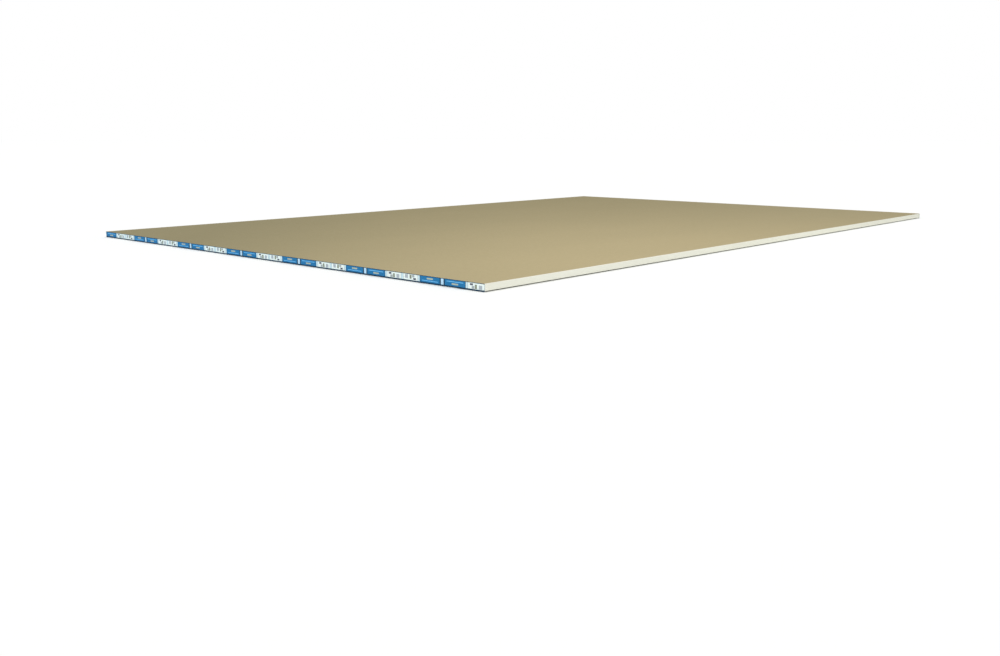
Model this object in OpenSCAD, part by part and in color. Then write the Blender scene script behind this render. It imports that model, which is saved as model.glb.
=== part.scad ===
// Paper-faced gypsum board: one sheet of tapered-edge drywall, face side down.
// The origin is at the centre of the face side. X runs across the sheet, Y along it, Z up
// through its thickness, so the back is on top and the tapers are underneath.

/* [Sheet] */
// Width across the sheet, between its two long edges
sheet_w = 1200; // [600:10:1400]
// Length along the sheet, between its two cut ends
sheet_l = 1800; // [600:10:3600]
// Thickness over both papers, away from the tapers
sheet_t = 13; // [9.5:0.5:25]

/* [Long edges] */
// Width of the taper along each long edge
taper_w = 60; // [40:1:80]
// Depth of the taper at the edge itself
taper_d = 1.5; // [0.6:0.1:2.4]
// Outside radius of the face paper where it folds round the edge
fold_r = 1.2; // [0.5:0.1:2]

/* [Back paper] */
// Thickness of the back paper
back_t = 0.3; // [0.2:0.05:0.6]
// Strip of flat face paper left showing between the back paper and each fold
lap_w = 0.4; // [0:0.2:25]

/* [End tape] */
// Thickness of the paper tape on each end
tape_t = 0.2; // [0.1:0.05:0.5]
// Margin by which the tape stays inside the end's outline
tape_inset = 0.2; // [0.1:0.05:1]

/* [Hidden] */

FACE_PAPER = [0.90, 0.88, 0.80];
BACK_PAPER = [0.69, 0.63, 0.47];
TAPE_BLUE = [0.05, 0.38, 0.68];

fold_steps = 8; // flats that make up each rounded fold
body_t = sheet_t - back_t; // height of the board under its back paper
front_y = -sheet_l / 2;
rear_y = sheet_l / 2;

// Points on an arc about (cx, cy), from angle a0 to a1
function arc(cx, cy, r, a0, a1) =
    [for (i = [0 : fold_steps])
        let (a = a0 + (a1 - a0) * i / fold_steps)
        [cx + r * cos(a), cy + r * sin(a)]];

// Right half of a cross-section of half width hw, from height low to height high, drawn from
// the start of a taper of the given depth, round the edge's lower fold and then its upper fold
function half_section(hw, low, high, depth) =
    let (
        slope = atan(depth / taper_w),
        lower_y = low + (taper_w - fold_r) * tan(slope) + fold_r / cos(slope)
    )
    concat(
        [[hw - taper_w, low]],
        arc(hw - fold_r, lower_y, fold_r, slope - 90, 0),
        arc(hw - fold_r, high - fold_r, fold_r, 0, 90)
    );

// The points of a half section on the other side, in the order that closes the outline
function mirrored(points) =
    [for (i = [len(points) - 1 : -1 : 0]) [-points[i][0], points[i][1]]];

// Cross-section in X and height, with a taper of the given depth under each long edge
module section(hw, low, high, depth) {
    right = half_section(hw, low, high, depth);
    polygon(concat(right, mirrored(right)));
}

// Stands a cross-section up and runs it along Y, from y0 for a length of run
module along_sheet(y0, run) {
    translate([0, y0 + run, 0])
        rotate([90, 0, 0])
            linear_extrude(height = run)
                children();
}

// Gypsum body with the face paper bonded to its underside and round both long edges
module board() {
    color(FACE_PAPER)
        along_sheet(front_y, sheet_l)
            section(sheet_w / 2, 0, body_t, taper_d);
}

// Back paper, laid over the folded laps of the face paper
module back_paper() {
    width = sheet_w - 2 * (fold_r + lap_w);
    color(BACK_PAPER)
        translate([-width / 2, front_y, body_t])
            cube([width, sheet_l, back_t]);
}

// Strip of paper tape over one cut end, starting at y0. Its lower edge is straight, and it
// bridges the tapers.
module end_tape(y0) {
    color(TAPE_BLUE)
        along_sheet(y0, tape_t)
            section(sheet_w / 2 - tape_inset, tape_inset, sheet_t - tape_inset, 0);
}

board();
back_paper();
end_tape(front_y - tape_t);  // end_tape_front
end_tape(rear_y);  // end_tape_rear
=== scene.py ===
"""Looks of one drywall sheet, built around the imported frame.

The sheet lies face down. Its tan back paper is on top, its ivory face paper is folded round the
tapered long edges, and each cut end is covered by a strip of printed paper tape.
"""

import math

import bmesh
import bpy
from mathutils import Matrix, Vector, noise


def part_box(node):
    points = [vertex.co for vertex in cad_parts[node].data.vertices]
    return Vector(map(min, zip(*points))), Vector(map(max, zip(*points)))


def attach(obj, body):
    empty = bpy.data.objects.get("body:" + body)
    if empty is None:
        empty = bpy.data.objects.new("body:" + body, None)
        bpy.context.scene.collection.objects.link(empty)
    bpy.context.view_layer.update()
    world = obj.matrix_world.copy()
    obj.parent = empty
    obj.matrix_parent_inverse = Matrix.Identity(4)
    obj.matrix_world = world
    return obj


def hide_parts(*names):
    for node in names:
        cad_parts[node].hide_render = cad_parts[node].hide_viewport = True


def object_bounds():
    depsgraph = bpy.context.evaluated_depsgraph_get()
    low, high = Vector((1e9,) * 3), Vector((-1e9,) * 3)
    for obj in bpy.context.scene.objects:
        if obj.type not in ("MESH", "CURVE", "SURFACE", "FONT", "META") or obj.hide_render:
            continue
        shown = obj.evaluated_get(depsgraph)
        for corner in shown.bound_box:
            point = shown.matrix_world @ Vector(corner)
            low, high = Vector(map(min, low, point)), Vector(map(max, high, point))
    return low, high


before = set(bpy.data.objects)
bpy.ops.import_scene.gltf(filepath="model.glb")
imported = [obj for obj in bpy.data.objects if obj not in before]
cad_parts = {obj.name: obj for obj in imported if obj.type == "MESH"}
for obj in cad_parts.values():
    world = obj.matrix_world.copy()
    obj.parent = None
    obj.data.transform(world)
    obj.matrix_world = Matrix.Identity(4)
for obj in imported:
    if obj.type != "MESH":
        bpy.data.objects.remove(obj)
CAD_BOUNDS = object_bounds()

MM = 0.001

# Board section, as in the CAD source
TAPER_WIDTH = 60 * MM
TAPER_DEPTH = 1.5 * MM
FOLD_RADIUS = 1.2 * MM
FOLD_STEPS = 10

# Papers
FACE_PAPER_THICKNESS = 0.35 * MM
EDGE_WANDER = 0.25 * MM  # how far the folded edges wander inward along the sheet
CUT_WANDER = 0.5 * MM  # how far the back paper's long cuts wander inward
DRIFT_SLOW, DRIFT_QUICK = 4.0, 19.0  # the wander's two rates, for each metre
DRIFT_QUICK_SHARE = 0.4
DRIFT_MIDDLE, DRIFT_GAIN = 0.5, 0.6  # bring the drift to about 0 to 1
SKIVE = 0.12 * MM  # bevel along the back paper's cut edges
RING_SPACING = 10 * MM  # distance between the rings of points along the sheet

# Printed tape: heights are above the floor, and lengths run along the strip
PRINT_PERIOD = 185 * MM
PRINT_START = 50 * MM  # from the strip's left end to its first pair of white panels
BORDER_LOW = 2.5 * MM  # top of the navy border along the bottom: printed, and widened so that it also stands in as painted shade along the strip's foot
BORDER_HIGH = 11.8 * MM  # bottom of the one along the top
PRINT_HEIGHT = BORDER_HIGH - BORDER_LOW
PANEL_MARGIN = 4 * MM
PANEL_LENGTH = 35.4 * MM
PANEL_LINE = 0.9 * MM
BAR_LENGTH = 6 * MM
BAR_GAP = 1.6 * MM
BLOCK_LINE = 1.1 * MM
PLATE_LENGTH = 14 * MM  # the plain plate on a blue block
PLATE_SPAN = (0.53, 0.79)  # shares of the print's height
RULE_INSET = 5 * MM
RULE_SPAN = (0.22, 0.34)

INK_THICK = 0.10  # share of its colour that an ink loses where it lies thick
INK_THIN = 0.025  # how far it goes to white where it lies thin

# Plain marks on a white panel: left and right from its end, bottom and top from its foot, in mm
PANEL_MARKS = (
    (4.8, 11.2, 5.4, 8.5, "slate"),
    (8.6, 14.2, 0.4, 4.6, "grey"),
    (15.2, 19.6, 0.6, 7.2, "olive"),
    (23.5, 30.5, 0.4, 6.8, "pale_grey"),
)

# Stage, in metres
FLOOR_SIZE = 60.0
FLOOR_DROP = 0.1 * MM  # keeps the floor clear of the face paper
FLOOR_GREY = 0.86
FLOOR_SUN = 1.75  # strength of the floor's own light
FLOOR_SUN_WIDTH = math.radians(80)  # wide, so that shadows stay soft
SKY_LIGHT = 0.618
SKY_COLOUR = (0.99, 1.0, 0.98)
LENS = 35.0  # millimetres
CAMERA_PLACE = Vector((1.584, -1.946, 0.230))
CAMERA_HEADING = math.radians(42.35)  # turned left from looking along +Y
CAMERA_PITCH = math.radians(11.2)  # looking down

# A key over the near corner, and low fills for the long edges and the taped ends:
# name, place, the point it faces, (width, height), watts and colour
LAMPS = (
    ("key", (0.41, -0.96, 1.5), (4.0, 2.44, 0.0), (0.5, 0.5), 21.0, (1.0, 0.93, 0.96)),
    ("edge_fill", (2.9, -1.9, 0.35), (0.6, -0.5, 0.0), (1.4, 0.5), 8.7, (1.0, 1.0, 1.0)),
    ("far_edge_fill", (1.5, 0.2, 0.15), (0.6, 0.2, 0.0), (0.6, 0.25), 1.2, (1.0, 1.0, 0.78)),
    ("end_fill", (1.3, -2.4, 0.30), (0.4, -0.9, 0.0), (1.0, 0.4), 4.9, (1.0, 1.0, 0.95)),
    ("far_end_fill", (-0.6, -2.3, 0.15), (-0.4, -0.9, 0.0), (0.8, 0.25), 5.0, (0.4, 0.75, 1.0)),
    ("left_edge_fill", (-2.9, 0.0, 0.12), (-0.6, 0.0, 0.0), (2.0, 0.2), 7.5, (1.0, 1.0, 1.0)),
    ("rear_end_fill", (0.0, 2.9, 0.12), (0.0, 0.9, 0.0), (1.6, 0.2), 4.5, (0.95, 1.0, 1.0)),
)

SAME_PLACE = 1e-7  # points nearer than this count as one
PLACES = 7  # decimal places kept of a print line's position, so that equal ones match
CUT_REACH = 1e-8  # points nearer than this to a cut lie on it
LIT = bpy.data.collections.new("lit_by_lamps")  # the pieces that the lamps light


# ---------------------------------------------------------------------------------------------
# Materials


class Surface:
    """A material whose Principled shader is fed by patterns in the object's own space."""

    def __init__(self, name, specular):
        self.material = bpy.data.materials.new(name)
        self.material.use_nodes = True
        self.tree = self.material.node_tree
        self.shader = self.tree.nodes["Principled BSDF"]
        self.shader.inputs["Specular IOR Level"].default_value = specular
        self.place = self.add("ShaderNodeTexCoord").outputs["Object"]

    def add(self, kind):
        return self.tree.nodes.new(kind)

    def feed(self, socket, value):
        """Links an output to a socket, or sets a plain value on it."""
        if isinstance(value, bpy.types.NodeSocket):
            self.tree.links.new(value, socket)
        else:
            socket.default_value = value

    def noise(self, size, detail=2.0, turn=0.0, rough=0.5):
        """Noise whose features are about size = (x, y, z) metres across, turned about Z."""
        mapping = self.add("ShaderNodeMapping")
        mapping.vector_type = "TEXTURE"
        mapping.inputs["Rotation"].default_value = (0, 0, math.radians(turn))
        mapping.inputs["Scale"].default_value = size
        self.feed(mapping.inputs["Vector"], self.place)
        pattern = self.add("ShaderNodeTexNoise")
        pattern.inputs["Scale"].default_value = 1.0
        pattern.inputs["Detail"].default_value = detail
        pattern.inputs["Roughness"].default_value = rough
        self.feed(pattern.inputs["Vector"], mapping.outputs["Vector"])
        return pattern.outputs["Fac"]

    def spread(self, value, low, high, to_low=0.0, to_high=1.0):
        """Maps the range low to high of a value onto to_low to to_high, and clamps it."""
        scale = self.add("ShaderNodeMapRange")
        for socket, number in zip(scale.inputs[1:5], (low, high, to_low, to_high)):
            socket.default_value = number
        self.feed(scale.inputs["Value"], value)
        return scale.outputs["Result"]

    def maths(self, operation, first, second):
        step = self.add("ShaderNodeMath")
        step.operation = operation
        self.feed(step.inputs[0], first)
        self.feed(step.inputs[1], second)
        return step.outputs["Value"]

    def blend(self, amount, below, above):
        """Colour below with colour above laid over it by amount."""
        mix = self.add("ShaderNodeMix")
        mix.data_type = "RGBA"
        self.feed(mix.inputs["Factor"], amount)
        self.feed(mix.inputs["A"], below)
        self.feed(mix.inputs["B"], above)
        return mix.outputs["Result"]

    def bump(self, height, depth, below=None):
        """Relief of the given depth in metres, laid over an earlier one."""
        relief = self.add("ShaderNodeBump")
        relief.inputs["Distance"].default_value = depth
        self.feed(relief.inputs["Height"], height)
        if below is not None:
            self.feed(relief.inputs["Normal"], below)
        return relief.outputs["Normal"]

    def finish(self, colour, normal, roughness):
        self.feed(self.shader.inputs["Base Color"], colour)
        self.feed(self.shader.inputs["Normal"], normal)
        self.feed(self.shader.inputs["Roughness"], roughness)
        return self.material


def rgb(red, green, blue):
    return (red, green, blue, 1.0)


def kraft_paper():
    """Tan recycled paper: soft clouds, a fine mottle, and light and dark fibres."""
    paper = Surface("back_paper_kraft", specular=0.1)
    clouds = paper.spread(paper.noise((0.16, 0.34, 0.1), detail=3.0), 0.3, 0.7)
    mottle = paper.noise((0.006, 0.011, 0.006), detail=4.0, rough=0.65)
    along = paper.noise((0.00035, 0.0038, 0.001), detail=3.0, turn=14)
    across = paper.noise((0.0030, 0.00035, 0.001), detail=3.0, turn=31)
    specks = paper.noise((0.0011, 0.0016, 0.001), detail=1.0)

    colour = paper.blend(clouds, rgb(0.461, 0.392, 0.221), rgb(0.476, 0.403, 0.227))
    colour = paper.blend(paper.spread(mottle, 0.3, 0.7, 0.0, 0.35), colour, rgb(0.40, 0.34, 0.20))
    colour = paper.blend(paper.spread(along, 0.58, 0.72, 0.0, 0.5), colour, rgb(0.62, 0.55, 0.36))
    colour = paper.blend(paper.spread(across, 0.60, 0.74, 0.0, 0.45), colour, rgb(0.31, 0.25, 0.14))
    colour = paper.blend(paper.spread(specks, 0.74, 0.80, 0.0, 0.7), colour, rgb(0.22, 0.18, 0.11))

    tooth = paper.maths("ADD", along, across)
    normal = paper.bump(paper.noise((0.02, 0.05, 0.02), detail=2.0), 0.06 * MM)
    normal = paper.bump(mottle, 0.05 * MM, normal)
    normal = paper.bump(tooth, 0.03 * MM, normal)
    return paper.finish(colour, normal, roughness=paper.spread(mottle, 0.3, 0.7, 0.84, 0.93))


def ivory_paper():
    """Smooth ivory face paper with faint fibres and a slight calender gloss."""
    paper = Surface("face_paper_ivory", specular=0.3)
    clouds = paper.spread(paper.noise((0.12, 0.28, 0.05), detail=3.0), 0.3, 0.7)
    mottle = paper.noise((0.004, 0.009, 0.003), detail=4.0, rough=0.6)
    fibres = paper.noise((0.0004, 0.0032, 0.0006), detail=3.0, turn=11)

    colour = paper.blend(clouds, rgb(0.805, 0.803, 0.712), rgb(0.835, 0.838, 0.752))
    colour = paper.blend(paper.spread(mottle, 0.35, 0.7, 0.0, 0.22), colour, rgb(0.74, 0.72, 0.61))
    colour = paper.blend(paper.spread(fibres, 0.60, 0.74, 0.0, 0.3), colour, rgb(0.62, 0.58, 0.47))

    normal = paper.bump(mottle, 0.03 * MM)
    normal = paper.bump(fibres, 0.02 * MM, normal)
    return paper.finish(colour, normal, roughness=paper.spread(mottle, 0.3, 0.7, 0.66, 0.78))


def gypsum():
    """The core's cut face: chalky white with foam pores, darkened inside the pores as painted
    shade.
    """
    core = Surface("gypsum_core", specular=0.15)
    grain = core.noise((0.0009, 0.0009, 0.0009), detail=5.0, rough=0.7)
    pores = core.noise((0.0006, 0.0006, 0.0006), detail=1.0)
    pore_holes_and_painted_shade = core.spread(pores, 0.60, 0.70)
    colour = core.blend(core.spread(grain, 0.3, 0.7), rgb(0.74, 0.73, 0.70), rgb(0.84, 0.83, 0.80))
    # Painted shade: the pores are darkened as if shaded inside, as well as being bumped in.
    colour = core.blend(pore_holes_and_painted_shade, colour, rgb(0.50, 0.49, 0.46))
    normal = core.bump(grain, 0.10 * MM)
    normal = core.bump(core.maths("SUBTRACT", 1.0, pore_holes_and_painted_shade), 0.15 * MM, normal)
    return core.finish(colour, normal, roughness=0.95)


def ink(name, colour):
    """One printed colour of the tape: coated paper with faintly uneven ink."""
    tape = Surface("tape_" + name, specular=0.06)
    uneven = tape.noise((0.009, 0.004, 0.003), detail=4.0, rough=0.6)
    fibres = tape.noise((0.0018, 0.0006, 0.00035), detail=3.0)
    dark = rgb(*(part * (1.0 - INK_THICK) for part in colour))
    light = rgb(*(part + INK_THIN * (1.0 - part) for part in colour))
    shade = tape.blend(tape.spread(uneven, 0.3, 0.7), dark, light)
    shade = tape.blend(tape.spread(fibres, 0.6, 0.75, 0.0, 0.25), shade, light)
    normal = tape.bump(uneven, 0.03 * MM)
    normal = tape.bump(fibres, 0.015 * MM, normal)
    return tape.finish(shade, normal, roughness=tape.spread(uneven, 0.3, 0.7, 0.44, 0.56))


INKS = {
    "white": (0.84, 0.92, 0.89),
    "ice": (0.61, 0.79, 0.86),
    "sky": (0.50, 0.72, 0.90),
    "blue": (0.010, 0.174, 0.400),
    "navy": (0.0, 0.032, 0.075),
    "pale_blue": (0.160, 0.520, 0.900),
    "stone": (0.440, 0.490, 0.400),
    "slate": (0.100, 0.105, 0.140),
    "olive": (0.240, 0.260, 0.190),
    "grey": (0.380, 0.420, 0.430),
    "pale_grey": (0.430, 0.470, 0.510),
}


# ---------------------------------------------------------------------------------------------
# Meshes


def add_piece(name, mesh_maker, materials):
    """Makes a mesh object that rides on the board's body."""
    bm = bmesh.new()
    mesh_maker(bm)
    bmesh.ops.recalc_face_normals(bm, faces=bm.faces)
    data = bpy.data.meshes.new(name)
    bm.to_mesh(data)
    bm.free()
    for material in materials:
        data.materials.append(material)
    piece = bpy.data.objects.new(name, data)
    bpy.context.scene.collection.objects.link(piece)
    LIT.objects.link(piece)
    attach(piece, "root")
    return piece


def arc(centre, radius, start, end, steps):
    """Points on an arc in the plane of the section, from one angle in degrees to another."""
    angles = [math.radians(start + (end - start) * i / steps) for i in range(steps + 1)]
    return [(centre[0] + radius * math.cos(a), centre[1] + radius * math.sin(a)) for a in angles]


def half_section(half_width, low, high, taper_depth):
    """Right half of the section: taper, lower fold and upper fold, from the bottom up."""
    slope = math.atan(taper_depth / TAPER_WIDTH)
    fold_x = half_width - FOLD_RADIUS
    run = TAPER_WIDTH - FOLD_RADIUS
    lower = low + run * math.tan(slope) + FOLD_RADIUS / math.cos(slope)
    points = [(half_width - TAPER_WIDTH, low)]
    points += arc((fold_x, lower), FOLD_RADIUS, math.degrees(slope) - 90, 0, FOLD_STEPS)
    points += arc((fold_x, high - FOLD_RADIUS), FOLD_RADIUS, 0, 90, FOLD_STEPS)
    return points


def outline(half_width, low, high, taper_depth):
    """The whole section as (x, height) points, anticlockwise as seen from the front end."""
    right = half_section(half_width, low, high, taper_depth)
    return right + [(-x, z) for x, z in reversed(right)]


def wander(y, seed, amount):
    """A slow drift between 0 and amount along the sheet."""
    slow = noise.noise(Vector((y * DRIFT_SLOW, seed, 0.0)))
    quick = noise.noise(Vector((y * DRIFT_QUICK, seed, 7.0)))
    drift = slow + DRIFT_QUICK_SHARE * quick
    return amount * min(1.0, max(0.0, DRIFT_MIDDLE + DRIFT_GAIN * drift))


def stations(low, high):
    """Evenly spaced places from low to high, both included."""
    count = round((high - low) / RING_SPACING)
    return [low + (high - low) * i / count for i in range(count + 1)]


def join_rings(bm, rings, smooth=()):
    """Faces from each ring of points to the next, shaded smooth along the sides that are listed."""
    for first, second in zip(rings, rings[1:]):
        for i in range(len(first)):
            face = bm.faces.new((first[i - 1], first[i], second[i], second[i - 1]))
            face.smooth = i in smooth


FACE, CORE = 0, 1  # the board's material slots


def board_mesh(bm):
    """Face paper round the board, and on each cut end the paper's thin ring round the core."""
    low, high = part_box("board")
    section = outline(high.x, low.z, high.z, TAPER_DEPTH)
    rings = []
    for y in stations(low.y, high.y):
        right, left = wander(y, 1.0, EDGE_WANDER), wander(y, 2.0, EDGE_WANDER)
        ring = []
        for x, z in section:
            pull = right if x > 0 else -left
            near_edge = abs(x) > high.x - TAPER_WIDTH / 2
            ring.append(bm.verts.new((x - pull if near_edge else x, y, z)))
        rings.append(ring)
    edges = [i for i in range(len(section)) if math.dist(section[i - 1], section[i]) < high.z]
    join_rings(bm, rings, smooth=edges)  # the folds and edges, but not the wide flats beside them
    for ring in (rings[0], rings[-1]):
        close_end(bm, ring, high.z)


def close_end(bm, ring, top):
    """Closes one cut end with a thin ring of paper round the core."""
    inner = []
    for vert in ring:
        x_side = math.copysign(FACE_PAPER_THICKNESS, vert.co.x)
        z_side = math.copysign(FACE_PAPER_THICKNESS, vert.co.z - top / 2)
        inner.append(bm.verts.new(vert.co - Vector((x_side, 0, z_side))))
    for i in range(len(ring)):
        face = bm.faces.new((ring[i - 1], ring[i], inner[i], inner[i - 1]))
        on_top = min(ring[i - 1].co.z, ring[i].co.z) > top - SAME_PLACE
        face.material_index = CORE if on_top else FACE
    core = bm.faces.new(inner)
    core.material_index = CORE


def back_paper_mesh(bm):
    """A thin sheet whose long cuts are finely bevelled and wander a little."""
    low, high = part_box("back_paper")
    cut = [(0.0, low.z), (0.0, high.z - SKIVE), (SKIVE, high.z)]  # (inset, height) points
    rings = []
    for y in stations(low.y, high.y):
        right = high.x - wander(y, 3.0, CUT_WANDER)
        left = low.x + wander(y, 4.0, CUT_WANDER)
        points = [(right - inset, z) for inset, z in cut]
        points += [(left + inset, z) for inset, z in reversed(cut)]
        rings.append([bm.verts.new((x, y, z)) for x, z in points])
    join_rings(bm, rings)
    for ring in (rings[0], rings[-1]):
        bm.faces.new(ring)


def print_runs(length):
    """The print along the strip, as (start, end, kind) runs from its left end."""
    pair = 3 * PANEL_MARGIN + 2 * PANEL_LENGTH
    block = (PRINT_PERIOD - pair - BAR_LENGTH - 2 * BAR_GAP) / 2
    cell = [("panels", pair), ("block_up", block), ("gap", BAR_GAP)]
    cell += [("bar", BAR_LENGTH), ("gap", BAR_GAP), ("block_down", block)]
    runs = []
    at = PRINT_START - PRINT_PERIOD
    while at < length:
        for kind, part in cell:
            runs.append((at, at + part, kind))
            at += part
    return runs


def print_marks(length):
    """Every printed rectangle, as (left, right, bottom, top, ink), the later over the earlier."""
    marks = []
    for start, end, kind in print_runs(length):
        if kind == "panels":
            marks.append((start, end, BORDER_LOW, BORDER_HIGH, "ice"))
            for panel in (0, 1):
                left = start + PANEL_MARGIN + panel * (PANEL_LENGTH + PANEL_MARGIN)
                marks += panel_marks(left, turned=panel == 1)
        elif kind == "bar":
            marks.append((start, end, BORDER_LOW, BORDER_HIGH, "sky"))
        elif kind in ("block_up", "block_down"):
            marks += block_marks(start, end, upright=kind == "block_up")
    return marks


def panel_marks(left, turned):
    """A white panel in a thin frame, with four plain marks, or the same turned end for end."""
    right = left + PANEL_LENGTH
    marks = [(left, right, BORDER_LOW, BORDER_HIGH, "grey")]
    marks.append((left + PANEL_LINE, right - PANEL_LINE, BORDER_LOW, BORDER_HIGH, "white"))
    for *sides, shade in PANEL_MARKS:
        start, end, low, high = (side * MM for side in sides)
        if turned:
            start, end = PANEL_LENGTH - end, PANEL_LENGTH - start
            low, high = PRINT_HEIGHT - high, PRINT_HEIGHT - low
        marks.append((left + start, left + end, BORDER_LOW + low, BORDER_LOW + high, shade))
    return marks


def block_marks(start, end, upright):
    """A blue block with a plain plate and a thin rule, the other way up on every other block."""
    middle = (start + end) / 2
    marks = [(start + BLOCK_LINE, end - BLOCK_LINE, BORDER_LOW, BORDER_HIGH, "blue")]
    rule = (start + RULE_INSET, end - RULE_INSET, RULE_SPAN, "pale_blue")
    plate = (middle - PLATE_LENGTH / 2, middle + PLATE_LENGTH / 2, PLATE_SPAN, "stone")
    for left, right, span, shade in (rule, plate):
        low, high = (share * PRINT_HEIGHT for share in span)
        if not upright:
            low, high = PRINT_HEIGHT - high, PRINT_HEIGHT - low
        marks.append((left, right, BORDER_LOW + low, BORDER_LOW + high, shade))
    return marks


def ink_at(marks, along, height):
    """The ink of the last mark over a place on the strip, or the navy ground where none is."""
    found = "navy"
    for left, right, bottom, top, shade in marks:
        if left < along < right and bottom < height < top:
            found = shade
    return found


def tape_mesh(node, facing):
    """A maker of one end's tape. Its print is laid out from the left, seen from outside."""

    def make(bm):
        low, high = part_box(node)
        length = high.x - low.x
        marks = [m for m in print_marks(length) if m[1] > 0 and m[0] < length]
        across = sorted({round(min(max(v, 0.0), length), PLACES) for m in marks for v in m[:2]})
        up = sorted({round(v, PLACES) for m in marks for v in m[2:4]} | {low.z, high.z})
        names = list(INKS)
        front = low.y if facing < 0 else high.y
        grid = [[bm.verts.new((-facing * (s + low.x), front, z)) for z in up] for s in across]
        for i in range(len(across) - 1):
            for j in range(len(up) - 1):
                shade = ink_at(marks, (across[i] + across[i + 1]) / 2, (up[j] + up[j + 1]) / 2)
                corners = (grid[i][j], grid[i + 1][j], grid[i + 1][j + 1], grid[i][j + 1])
                bm.faces.new(corners).material_index = names.index(shade)
        trim(bm, outline(high.x, low.z, high.z, 0.0), front)
        thicken(bm, facing, high.y - low.y, names.index("white"))

    return make


def trim(bm, shape, y):
    """Cuts a flat strip back to a convex outline."""
    for (x0, z0), (x1, z1) in zip(shape, shape[1:] + shape[:1]):
        along = Vector((x1 - x0, 0, z1 - z0))
        if along.length < SAME_PLACE:
            continue
        outward = Vector((along.z, 0, -along.x)).normalized()
        bmesh.ops.bisect_plane(
            bm,
            geom=bm.verts[:] + bm.edges[:] + bm.faces[:],
            plane_co=(x0, y, z0),
            plane_no=outward,
            clear_outer=True,
            dist=CUT_REACH,
        )


def thicken(bm, facing, thickness, side_material):
    """Gives a printed strip its thickness, with plain sides and a plain back."""
    printed = bm.faces[:]
    copy = bmesh.ops.duplicate(bm, geom=printed)
    back = [part for part in copy["geom"] if isinstance(part, bmesh.types.BMFace)]
    for vert in {v for face in back for v in face.verts}:
        vert.co.y -= facing * thickness
    twins = copy["vert_map"]
    rims = [edge for face in printed for edge in face.edges if edge.is_boundary]
    for face in back:
        face.material_index = side_material
    for edge in rims:
        first, second = edge.verts
        side = bm.faces.new((first, second, twins[second], twins[first]))
        side.material_index = side_material


# ---------------------------------------------------------------------------------------------
# Stage


def studio_floor():
    """A wide pale floor with an overhead light of its own, so that it reads as a white sweep."""
    bm = bmesh.new()
    bmesh.ops.create_grid(bm, x_segments=1, y_segments=1, size=FLOOR_SIZE / 2)
    data = bpy.data.meshes.new("studio_floor")
    bm.to_mesh(data)
    bm.free()
    floor = bpy.data.objects.new("studio_floor", data)
    floor.location.z = CAD_BOUNDS[0].z - FLOOR_DROP
    material = bpy.data.materials.new("studio_floor_white")
    material.use_nodes = True
    shader = material.node_tree.nodes["Principled BSDF"]
    shader.inputs["Base Color"].default_value = rgb(FLOOR_GREY, FLOOR_GREY, FLOOR_GREY)
    shader.inputs["Roughness"].default_value = 1.0
    shader.inputs["Specular IOR Level"].default_value = 0.0
    data.materials.append(material)
    bpy.context.scene.collection.objects.link(floor)

    lamp = bpy.data.lights.new("floor_light", "SUN")
    lamp.angle = FLOOR_SUN_WIDTH
    lamp.energy = FLOOR_SUN
    light = bpy.data.objects.new("floor_light", lamp)
    bpy.context.scene.collection.objects.link(light)
    lit = bpy.data.collections.new("lit_by_floor_light")
    lit.objects.link(floor)
    light.light_linking.receiver_collection = lit


def studio_world():
    """Even, slightly cool light all round, with a white background for the camera."""
    world = bpy.data.worlds.new("studio")
    world.use_nodes = True
    tree = world.node_tree
    light = tree.nodes["Background"]
    light.inputs["Color"].default_value = rgb(*SKY_COLOUR)
    light.inputs["Strength"].default_value = SKY_LIGHT
    seen = tree.nodes.new("ShaderNodeBackground")
    seen.inputs["Color"].default_value = rgb(1.0, 1.0, 1.0)
    path = tree.nodes.new("ShaderNodeLightPath")
    pick = tree.nodes.new("ShaderNodeMixShader")
    tree.links.new(path.outputs["Is Camera Ray"], pick.inputs["Fac"])
    tree.links.new(light.outputs["Background"], pick.inputs[1])
    tree.links.new(seen.outputs["Background"], pick.inputs[2])
    tree.links.new(pick.outputs["Shader"], tree.nodes["World Output"].inputs["Surface"])
    bpy.context.scene.world = world


def soft_light(name, place, aim, size, watts, colour):
    """A soft panel that lights the sheet alone, so that the floor keeps its own even white."""
    lamp = bpy.data.lights.new(name, "AREA")
    lamp.shape = "RECTANGLE"
    lamp.size, lamp.size_y = size
    lamp.energy = watts
    lamp.color = colour
    light = bpy.data.objects.new(name, lamp)
    light.location = place
    light.rotation_euler = (Vector(aim) - Vector(place)).to_track_quat("-Z", "Y").to_euler()
    bpy.context.scene.collection.objects.link(light)
    light.light_linking.receiver_collection = LIT


def camera():
    """Looks at the sheet from beyond its near corner, a little from above."""
    lens = bpy.data.cameras.new("camera")
    lens.lens = LENS
    lens.clip_end = FLOOR_SIZE
    view = bpy.data.objects.new("camera", lens)
    view.location = CAMERA_PLACE
    view.rotation_euler = (math.pi / 2 - CAMERA_PITCH, 0.0, CAMERA_HEADING)
    bpy.context.scene.collection.objects.link(view)
    bpy.context.scene.camera = view


# ---------------------------------------------------------------------------------------------
# The sheet

bpy.context.scene.view_settings.view_transform = "Standard"
camera()
studio_floor()
studio_world()
for lamp in LAMPS:
    soft_light(*lamp)

inks = [ink(name, colour) for name, colour in INKS.items()]

board = add_piece("board_body", board_mesh, [ivory_paper(), gypsum()])
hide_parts("board")

back_paper = add_piece("kraft_back", back_paper_mesh, [kraft_paper()])
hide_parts("back_paper")

for node, facing in (("end_tape_front", -1), ("end_tape_rear", 1)):
    tape = add_piece(node.replace("end_tape", "printed_tape"), tape_mesh(node, facing), inks)
    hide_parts(node)
